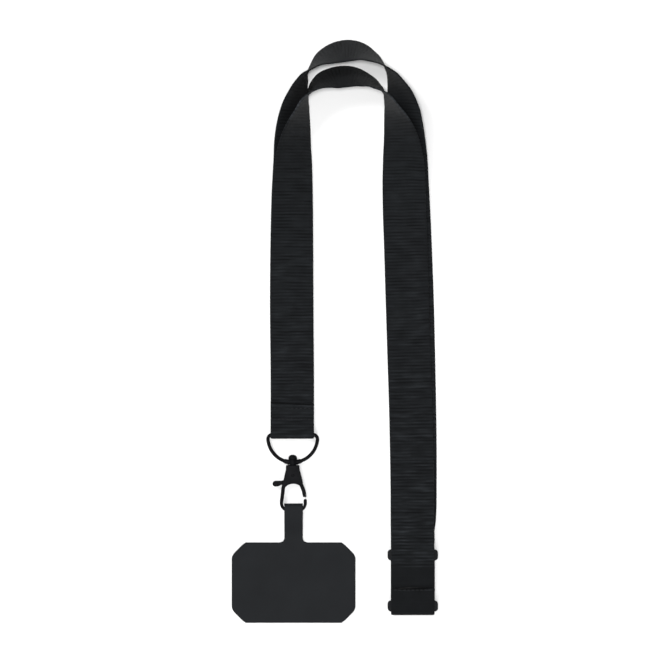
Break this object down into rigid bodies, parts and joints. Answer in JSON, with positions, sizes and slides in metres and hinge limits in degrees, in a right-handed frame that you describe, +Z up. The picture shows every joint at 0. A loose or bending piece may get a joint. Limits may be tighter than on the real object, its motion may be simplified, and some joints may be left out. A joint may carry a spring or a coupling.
{
  "type": "phone lanyard",
  "caption": "Flat webbing neck loop laid double, with a breakaway buckle, a D-ring, a swivel trigger hook and a thin T-shaped tab that a phone case holds.",
  "frame": {"origin": "on the table under the middle of the object's box", "axes": "+Y from the tab to the arch of the strap, +X towards the leg with the buckle, +Z up from the table"},
  "size_m": [0.095, 0.2686, 0.0205],
  "materials": {
    "webbing": "ribbed polyester webbing",
    "thread": "sewing thread",
    "black_metal": "black coated zinc and steel, satin",
    "spring_steel": "drawn wire",
    "buckle_plastic": "fine matte moulding",
    "tab_sheet": "matte coated sheet"
  },
  "bodies": {
    "strap": {"front_strap": "webbing", "back_strap": "webbing", "ring_seam": "thread", "back_loop_seam": "thread", "buckle_plug": "buckle_plastic"},
    "socket_end": {"front_strap_end": "webbing", "front_loop_seam": "thread", "buckle_socket": "buckle_plastic"},
    "ring": {"d_ring": "black_metal"},
    "hook": {"swivel_post": "black_metal", "hook_body": "black_metal", "gate_pin": "black_metal", "gate_spring": "spring_steel"},
    "gate": {"gate": "black_metal"},
    "tab": {"tab_front_sheet": "tab_sheet", "tab_back_sheet": "tab_sheet"}
  },
  "joints": [
    {"name": "buckle_release", "type": "slide", "parent": "strap", "child": "socket_end", "axis": [0, -1, 0], "range_m": [0, 0.007]},
    {"name": "ring_swing", "type": "hinge", "parent": "strap", "child": "ring", "pos_m": [-0.0195, -0.0473, 0.002], "axis": [1, 0, 0], "range_deg": [-90, 90]},
    {"name": "hook_swivel", "type": "hinge", "parent": "ring", "child": "hook", "pos_m": [-0.0195, -0.0601, 0.002], "axis": [0, 1, 0], "continuous": true},
    {"name": "gate_open", "type": "hinge", "parent": "hook", "child": "gate", "pos_m": [-0.0195, -0.0661, 0.002], "axis": [0, 0, -1], "range_deg": [0, 22], "stiffness_Nm_per_rad": 0.02, "springref_deg": -11.46},
    {"name": "tab_swing", "type": "hinge", "parent": "hook", "child": "tab", "pos_m": [-0.0191, -0.08183, 0.002], "axis": [1, 0, 0], "range_deg": [-90, 90]}
  ]
}
